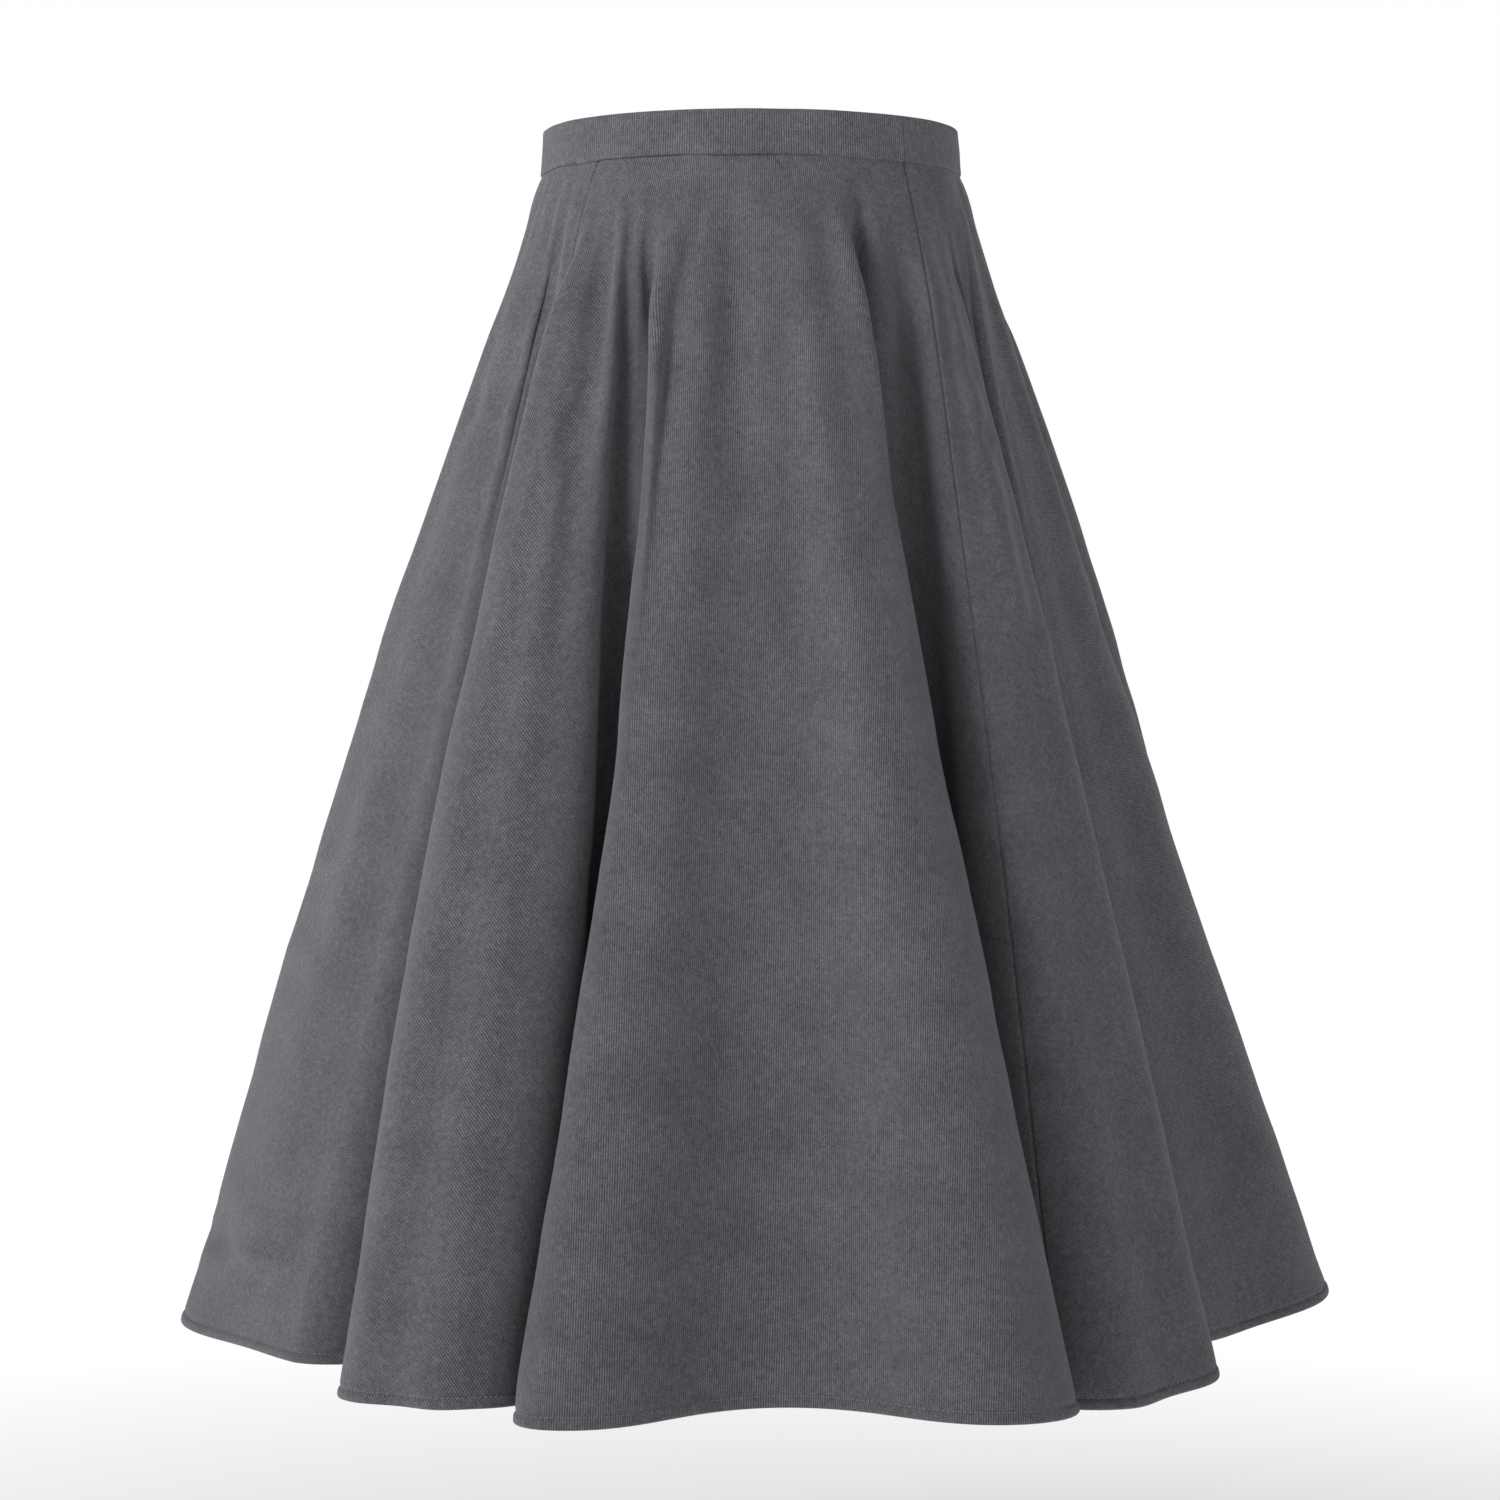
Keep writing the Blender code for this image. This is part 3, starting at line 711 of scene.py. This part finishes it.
def addAllowances(name, seams):
    # seams: angle of the seam, the side it lies on (1 or -1), and where it starts below the waist
    pieces = []
    foot = 1 - (panelCut["hemTurn"] + allowance["overHem"]) / length
    near = skirt["wall"] / 2 + allowance["clear"]
    inset = allowance["steps"][0]
    for index, (seam, towards, start) in enumerate(seams):
        outer, inner, uv = [], [], []
        for share in np.linspace(start / length, foot, allowance["rows"]):
            radius = waistRadius + length * share
            wave = allowance["edgeWave"] * math.sin(share * 61 + index * 2.1) * math.sin(share * 23 + index)
            far = allowance["wide"] + wave
            steps = np.array(allowance["steps"]) / allowance["wide"] * far
            if towards < 0:
                steps = -steps[::-1]
            angles = seam + np.degrees(steps / radius)
            middle, normals = bentCloth(share, angles)
            edge = np.minimum(np.abs(steps) - inset, far - np.abs(steps)) / allowance["edgeRound"]
            thick = allowance["thick"] * (0.35 + 0.65 * np.sqrt(np.clip(edge, 0.0, 1.0)))
            outer.append(middle - normals * near)
            inner.append(middle - normals * (near + thick)[:, None])
            uv.append(flatUv(share, 2 * seam - angles))
        outer, inner, uv = np.array(outer), np.array(inner), np.array(uv)
        pieces.append(gridObject(name + str(index), outer, inner, uv, [needlecord]))
    return joined(name, pieces)


frontAllowances = addAllowances("front_allowances", ((side, -1, allowance["zipEnd"]), (-side, 1, 0.0)))
leftAllowances = addAllowances("back_left_allowances", ((side, 1, allowance["zipEnd"]), (back, -1, 0.0)))
rightAllowances = addAllowances("back_right_allowances", ((back, 1, 0.0), (360 - side, -1, 0.0)))
print("seam allowances made")


# Stitches and zip teeth: a row of small rounded forms set along a path
def rowTree():
    tree = bpy.data.node_groups.new("row of forms", "GeometryNodeTree")
    face = tree.interface
    face.new_socket(name="Path", in_out="INPUT", socket_type="NodeSocketGeometry")
    for name, kind in (("Pitch", "Float"), ("Size", "Vector"), ("Unevenness", "Float"), ("Seed", "Int"),
                       ("Finish", "Material")):
        face.new_socket(name=name, in_out="INPUT", socket_type="NodeSocket" + kind)
    face.new_socket(name="Row", in_out="OUTPUT", socket_type="NodeSocketGeometry")

    def node(kind, **settings):
        made = tree.nodes.new(kind)
        for key, value in settings.items():
            setattr(made, key, value)
        return made

    def link(a, b):
        tree.links.new(a, b)

    given, result = node("NodeGroupInput"), node("NodeGroupOutput")
    curve = node("GeometryNodeMeshToCurve")
    even = node("GeometryNodeResampleCurve", mode="LENGTH")
    link(given.outputs["Path"], curve.inputs["Mesh"])
    link(curve.outputs["Curve"], even.inputs["Curve"])
    link(given.outputs["Pitch"], even.inputs["Length"])
    form = node("GeometryNodeMeshUVSphere")
    form.inputs["Segments"].default_value = 6
    form.inputs["Rings"].default_value = 4
    form.inputs["Radius"].default_value = 1.0
    along = node("FunctionNodeAlignRotationToVector", axis="X")
    link(node("GeometryNodeInputTangent").outputs[0], along.inputs["Vector"])
    outward = node("GeometryNodeInputNamedAttribute", data_type="FLOAT_VECTOR")
    outward.inputs["Name"].default_value = "outward"
    upright = node("FunctionNodeAlignRotationToVector", axis="Z", pivot_axis="X")
    link(along.outputs[0], upright.inputs["Rotation"])
    link(outward.outputs[0], upright.inputs["Vector"])
    # Each form is a little longer or shorter, thicker or thinner, than its neighbours
    shake = node("FunctionNodeRandomValue", data_type="FLOAT_VECTOR")
    for operation, socket in (("SUBTRACT", shake.inputs[0]), ("ADD", shake.inputs[1])):
        limit = node("ShaderNodeMath", operation=operation)
        limit.inputs[0].default_value = 1.0
        link(given.outputs["Unevenness"], limit.inputs[1])
        link(limit.outputs[0], socket)
    link(given.outputs["Seed"], shake.inputs["Seed"])
    sized = node("ShaderNodeVectorMath", operation="MULTIPLY")
    link(given.outputs["Size"], sized.inputs[0])
    link(shake.outputs[0], sized.inputs[1])
    forms = node("GeometryNodeInstanceOnPoints")
    link(even.outputs["Curve"], forms.inputs["Points"])
    link(form.outputs["Mesh"], forms.inputs["Instance"])
    link(upright.outputs[0], forms.inputs["Rotation"])
    link(sized.outputs[0], forms.inputs["Scale"])
    real = node("GeometryNodeRealizeInstances")
    link(forms.outputs["Instances"], real.inputs["Geometry"])
    finish = node("GeometryNodeSetMaterial")
    link(real.outputs["Geometry"], finish.inputs["Geometry"])
    link(given.outputs["Finish"], finish.inputs["Material"])
    link(finish.outputs["Geometry"], result.inputs["Row"])
    return tree


formRow = rowTree()
rowInputs = {item.name: item.identifier for item in formRow.interface.items_tree if item.in_out == "INPUT"}


def addRow(name, paths, given):
    # paths: (points, outward directions) for each run; given: a value for each named input
    mesh = bpy.data.meshes.new(name + "_path")
    points, edges, outward = [], [], []
    for run, directions in paths:
        base = len(points)
        points += [tuple(map(float, point)) for point in run]
        outward += [tuple(map(float, direction)) for direction in directions]
        edges += [(base + k, base + k + 1) for k in range(len(run) - 1)]
    mesh.from_pydata(points, edges, [])
    layer = mesh.attributes.new("outward", "FLOAT_VECTOR", "POINT")
    layer.data.foreach_set("vector", np.array(outward, dtype=np.float32).ravel())
    path = placed(name + "_path", mesh)
    modifier = path.modifiers.new("row", "NODES")
    modifier.node_group = formRow
    for title, value in given.items():
        modifier[rowInputs[title]] = value
    graph = bpy.context.evaluated_depsgraph_get()
    made = bpy.data.meshes.new_from_object(path.evaluated_get(graph), depsgraph=graph)
    bpy.data.objects.remove(path)
    made.name = name
    made.shade_smooth()
    print(name, "has", len(made.polygons), "faces")
    return placed(name, made)


# Hem stitching: one run on the outside of each panel and one inside it; in metres
stitching = {
    "pitch": 0.0030,
    "size": (0.00130, 0.00028, 0.00026),
    "lift": 0.00020,
    "unevenness": 0.08,
    "fromEnds": 3,           # columns left bare at each end
}


def addStitches(name, panel, seed):
    bare = stitching["fromEnds"]
    outer, inner, normals = (line[bare:-bare] for line in stitchLines[panel])
    lift = normals * stitching["lift"]
    given = {"Pitch": stitching["pitch"], "Size": stitching["size"], "Unevenness": stitching["unevenness"],
             "Seed": seed, "Finish": thread}
    return addRow(name, [(outer + lift, normals), (inner - lift, -normals)], given)


frontStitches = addStitches("front_hem_stitches", "front_panel_cloth", 3)
leftStitches = addStitches("back_left_hem_stitches", "back_panel_left_cloth", 4)
rightStitches = addStitches("back_right_hem_stitches", "back_panel_right_cloth", 5)
print("hem stitched")

# The side zip, inside the left seam: a woven tape and a nylon coil; in metres
zipCut = {
    "length": 0.180,
    "top": 0.0008,
    "halfWidth": 0.011,
    "tape": 0.0008,
    "clear": 0.0003,
    "rows": 60,
    "steps": (-1, -0.985, -0.93, -0.8, -0.6, -0.4, -0.22, -0.1, 0, 0.1, 0.22, 0.4, 0.6, 0.8, 0.93, 0.985, 1),
    "edgeRound": 0.07,       # as a share of the half width
    "toothPitch": 0.0014,
    "tooth": (0.00042, 0.0018, 0.00046),
    "toothClear": 0.0002,
}


def tapeMaterial():
    s = Shader("zip tape")
    _, across, down = s.flatPlace()
    picks = s.math("MULTIPLY_ADD", s.ribs(down, 0.0007), 0.6, 0.4)
    weave = s.math("MULTIPLY", s.ribs(across, 0.0009), picks)
    dark, light = (0.030, 0.029, 0.032, 1.0), (0.082, 0.080, 0.088, 1.0)
    s.put(s.surface.inputs["Base Color"], s.mixed(weave, dark, light))
    s.bumped(weave, 0.5, 0.0002)
    s.finish({"Roughness": 0.75})
    return s.material


def coilMaterial():
    s = Shader("nylon coil")
    cloud = s.noise(s.add("ShaderNodeTexCoord").outputs["Object"], 260.0, 2.0)
    dark, light = (0.045, 0.044, 0.048, 1.0), (0.085, 0.083, 0.090, 1.0)
    s.put(s.surface.inputs["Base Color"], s.mixed(cloud, dark, light))
    s.put(s.surface.inputs["Roughness"], s.remap(cloud, 0.3, 0.7, 0.32, 0.48))
    return s.material


def addZip():
    wide, steps = zipCut["halfWidth"], np.array(zipCut["steps"])
    near = skirt["wall"] / 2 + zipCut["clear"]
    rounded = np.sqrt(np.clip((1 - np.abs(steps)) / zipCut["edgeRound"], 0.0, 1.0))
    far = near + zipCut["tape"] * (0.4 + 0.6 * rounded)
    coilDepth = near + zipCut["tape"] + zipCut["toothClear"]
    centre = len(steps) // 2
    outer, inner, uv, middleLine, outwards = [], [], [], [], []
    for share in np.linspace(zipCut["top"], zipCut["length"], zipCut["rows"]) / length:
        radius = waistRadius + length * share
        # The tape keeps its width where the cloth beside it is drawn in
        nearby = np.linspace(-2 * wide, 2 * wide, 81)
        places = clothPoints(share, side + np.degrees(nearby / radius))
        run = np.append(0.0, np.cumsum(np.linalg.norm(np.diff(places, axis=0), axis=1)))
        offsets = np.interp(steps * wide, run - run[len(run) // 2], nearby)
        middle, normals = bentCloth(share, side + np.degrees(offsets / radius))
        outer.append(middle - normals * near)
        inner.append(middle - normals * far[:, None])
        uv.append(np.stack([steps * wide, np.full(len(steps), share * length)], axis=1))
        middleLine.append(middle[centre] - normals[centre] * coilDepth)
        outwards.append(-normals[centre])
    tape = gridObject("side_zip_tape", np.array(outer), np.array(inner), np.array(uv), [tapeMaterial()])
    given = {"Pitch": zipCut["toothPitch"], "Size": zipCut["tooth"], "Unevenness": 0.02, "Seed": 6,
             "Finish": coilMaterial()}
    return tape, addRow("side_zip_coil", [(middleLine[1:-1], outwards[1:-1])], given)


zipTape, zipCoil = addZip()
print("zip made")

# The waistband: a straight strip folded over at its top, closed round the waist; in metres
bandCut = {
    "wall": 0.0030,
    "proud": 0.0006,
    "taper": 0.0020,
    "corner": 0.0012,
    "sides": 8,
    "columns": 380,
    "gap": 0.00008,
    "endSteps": (0, 0.0002, 0.0005, 0.0012, 0.0028),
    "endRound": 0.0005,
    "endShare": 0.82,
    "seed": 11,
    "uneven": 0.00030,
    "lowerEdgeWave": 0.00035,
    "overlap": 0.0009,       # how far its lower edge comes down over the seam
    "lowerShare": 0.35,
    "lowerProud": 0.0003,
}


def bandProfile():
    # Offsets and heights round the band's section, from the outer lower corner up and over
    corner = bandCut["corner"]
    across, up = bandCut["wall"] / 2 - corner, skirt["bandHeight"] / 2 - corner
    corners = ((across, -up, -90), (across, up, 0), (-across, up, 90), (-across, -up, 180))
    points = []
    for centreX, centreZ, start in corners:
        turns = [math.radians(start + 90 * k / 4) for k in range(5)]
        arc = [(centreX + corner * math.cos(turn), centreZ + corner * math.sin(turn)) for turn in turns]
        if points:
            # A long side has points along it, the short top has none
            (lastX, lastZ), (nextX, nextZ) = points[-1], arc[0]
            sides = bandCut["sides"] if abs(nextZ - lastZ) > corner else 1
            for k in range(1, sides):
                points.append((lastX + (nextX - lastX) * k / sides, lastZ + (nextZ - lastZ) * k / sides))
        points += arc
    return points


def bandAngles():
    gap = math.degrees(bandCut["gap"] / 2 / waistRadius)
    first, last = side + gap, side + 360 - gap
    ends = np.degrees(np.array(bandCut["endSteps"]) / waistRadius)
    middle = np.linspace(first + ends[-1], last - ends[-1], bandCut["columns"])
    return first, last, np.concatenate([first + ends[:-1], middle, (last - ends[:-1])[::-1]])


def addBand():
    first, last, angles = bandAngles()
    profile = bandProfile()
    height = skirt["bandHeight"]
    shake = np.random.RandomState(bandCut["seed"])
    rollGrid = shake.normal(0.0, 1.0, (4, 40))
    waveGrid = shake.normal(0.0, 1.0, (1, 52))
    vertices, faces, uvs = [], [], []
    for angle in angles:
        x, y, heading = waistPlace(angle)
        out = np.array([math.sin(math.radians(heading)), -math.cos(math.radians(heading))])
        fromEnd = min(angle - first, last - angle) * math.pi / 180 * waistRadius
        squeeze = 1.0
        if fromEnd < bandCut["endRound"]:
            inward = 1 - fromEnd / bandCut["endRound"]
            squeeze -= (1 - bandCut["endShare"]) * (1 - math.sqrt(max(0.0, 1 - inward**2)))
        place = np.array([angle])
        drop = bandCut["overlap"] + bandCut["lowerEdgeWave"] * float(fromGrid(waveGrid, place, 0.0)[0])
        for offset, z in profile:
            share = z / height + 0.5
            lower = (1 - float(smoothStep(share / bandCut["lowerShare"]))) * (offset > 0)
            belly = bandCut["uneven"] * float(fromGrid(rollGrid, place, min(share, 0.999))[0])
            stand = offset * squeeze + bandCut["proud"] - bandCut["taper"] * share + belly
            stand += bandCut["lowerProud"] * lower
            z = z * (1 - 0.02 * (1 - squeeze)) - drop * lower
            vertices.append((x + out[0] * stand, y + out[1] * stand, z))
    count = len(profile)
    girth = np.cumsum([0.0] + [math.dist(p, q) for p, q in zip(profile, profile[1:] + profile[:1])])
    along = np.radians(angles) * waistRadius
    for i in range(len(angles) - 1):
        for k in range(count):
            n = (k + 1) % count
            faces.append((i * count + k, (i + 1) * count + k, (i + 1) * count + n, i * count + n))
            here, there = girth[k], girth[k + 1]
            uvs += [(along[i], here), (along[i + 1], here), (along[i + 1], there), (along[i], there)]
    for base, turned in ((0, False), ((len(angles) - 1) * count, True)):
        centre = len(vertices)
        vertices.append(tuple(np.mean(vertices[base:base + count], axis=0)))
        for k in range(count):
            a, b = base + k, base + (k + 1) % count
            faces.append((b, a, centre) if turned else (a, b, centre))
            uvs += [(profile[k][0], girth[k]), (profile[k][0] * 0.5, girth[k + 1]), (0.0, girth[k])]
    mesh = bpy.data.meshes.new("waistband_cloth")
    mesh.from_pydata([tuple(map(float, v)) for v in vertices], [], faces)
    mesh.uv_layers.new(name="flat").data.foreach_set("uv", np.array(uvs, dtype=np.float32).ravel())
    mesh.materials.append(bandNeedlecord)
    mesh.shade_smooth()
    return placed("waistband_cloth", mesh)


band = addBand()
print("waistband made")


# Camera: level, 2.25 m in front of the skirt; focal length and picture in pixels, places in metres
view = {"place": (-0.0006, -2.25, -0.3705), "focal": 3618, "picture": 1500, "sensor": 36}

camera = placed("camera", bpy.data.cameras.new("camera"))
camera.location = view["place"]
camera.rotation_euler = (math.pi / 2, 0.0, 0.0)
camera.data.lens = view["focal"] / view["picture"] * view["sensor"]
camera.data.sensor_width = view["sensor"]
camera.data.clip_end = 60
bpy.context.scene.camera = camera

# The studio: a bright room, a key light from the left, a weak light on each edge and a pale floor
studio = {
    "lights": (
        ("key light", (-1.80, -1.45, 1.30), (0, 0, -0.10), (1.0, 1.0), 53.0),
        ("left edge light", (-2.2, 1.3, 0.2), (0, 0, -0.4), (0.8, 2.2), 2.0),
        ("right edge light", (2.2, 1.3, 0.2), (0, 0, -0.4), (0.8, 2.2), 0.8),
    ),
    "round": 1.0,
    "overhead": 0.04,
    "roomTurns": (0.19, 0.42),
    "floor": -0.95,
    "floorReach": 9,
    "floorFades": (0.3, 1.3),
}


def addLight(name, place, target, size, power):
    light = bpy.data.lights.new(name, "AREA")
    light.shape = "RECTANGLE"
    light.size, light.size_y = size
    light.energy = power
    lamp = placed(name, light)
    lamp.location = place
    lamp.rotation_euler = (Vector(target) - lamp.location).to_track_quat("-Z", "Y").to_euler()


def addRoom():
    # White all round at the height of the skirt, dimmer overhead and underneath
    world = bpy.data.worlds.new("bright room")
    world.use_nodes = True
    nodes, links = world.node_tree.nodes, world.node_tree.links
    apart = nodes.new("ShaderNodeSeparateXYZ")
    links.new(nodes.new("ShaderNodeTexCoord").outputs["Generated"], apart.inputs[0])
    steep = nodes.new("ShaderNodeMath")
    steep.operation = "ABSOLUTE"
    links.new(apart.outputs[2], steep.inputs[0])
    strength = nodes.new("ShaderNodeMapRange")
    strength.interpolation_type = "SMOOTHSTEP"
    links.new(steep.outputs[0], strength.inputs[0])
    numbers = (*studio["roomTurns"], studio["round"], studio["overhead"])
    for socket, number in zip(strength.inputs[1:5], numbers):
        socket.default_value = number
    nodes["Background"].inputs["Color"].default_value = (1.0, 1.0, 1.0, 1.0)
    links.new(strength.outputs[0], nodes["Background"].inputs["Strength"])
    bpy.context.scene.world = world


def addFloor():
    # Pale under the skirt, and fading into the white of the room
    mesh = bpy.data.meshes.new("studio floor")
    reach, turns = studio["floorReach"], [math.tau * k / 96 for k in range(96)]
    rim = [(reach * math.cos(turn), reach * math.sin(turn), studio["floor"]) for turn in turns]
    mesh.from_pydata(rim, [], [tuple(range(96))])
    s = Shader("pale floor")
    s.finish({"Base Color": (0.86, 0.86, 0.87, 1.0), "Roughness": 0.9})
    away = s.add("ShaderNodeVectorMath", operation="LENGTH")
    s.put(away.inputs[0], s.stretched(s.add("ShaderNodeTexCoord").outputs["Object"], (1.0, 1.0, 0.0)))
    glow = s.add("ShaderNodeEmission")
    glow.inputs["Strength"].default_value = studio["round"]
    blend = s.add("ShaderNodeMixShader")
    s.put(blend.inputs[0], s.remap(away.outputs["Value"], *studio["floorFades"], 0.55, 1.0))
    s.put(blend.inputs[1], s.surface.outputs[0])
    s.put(blend.inputs[2], glow.outputs[0])
    s.put(s.tree.nodes["Material Output"].inputs["Surface"], blend.outputs[0])
    mesh.materials.append(s.material)
    placed("studio floor", mesh)


for light in studio["lights"]:
    addLight(*light)
addRoom()
addFloor()
bpy.context.scene.view_settings.view_transform = "Standard"
print("camera and light set")

for piece, slotName, node in ((frontPanel, "cord", "front_panel"), (leftPanel, "cord", "back_panel_left"),
                              (rightPanel, "cord", "back_panel_right"), (band, "band_cord", "waistband")):
    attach(piece, "root")
    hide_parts(node)
for piece in (frontAllowances, leftAllowances, rightAllowances, frontStitches, leftStitches, rightStitches):
    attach(piece, "root")
for piece in (zipTape, zipCoil):
    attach(piece, "root")
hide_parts("side_zip")
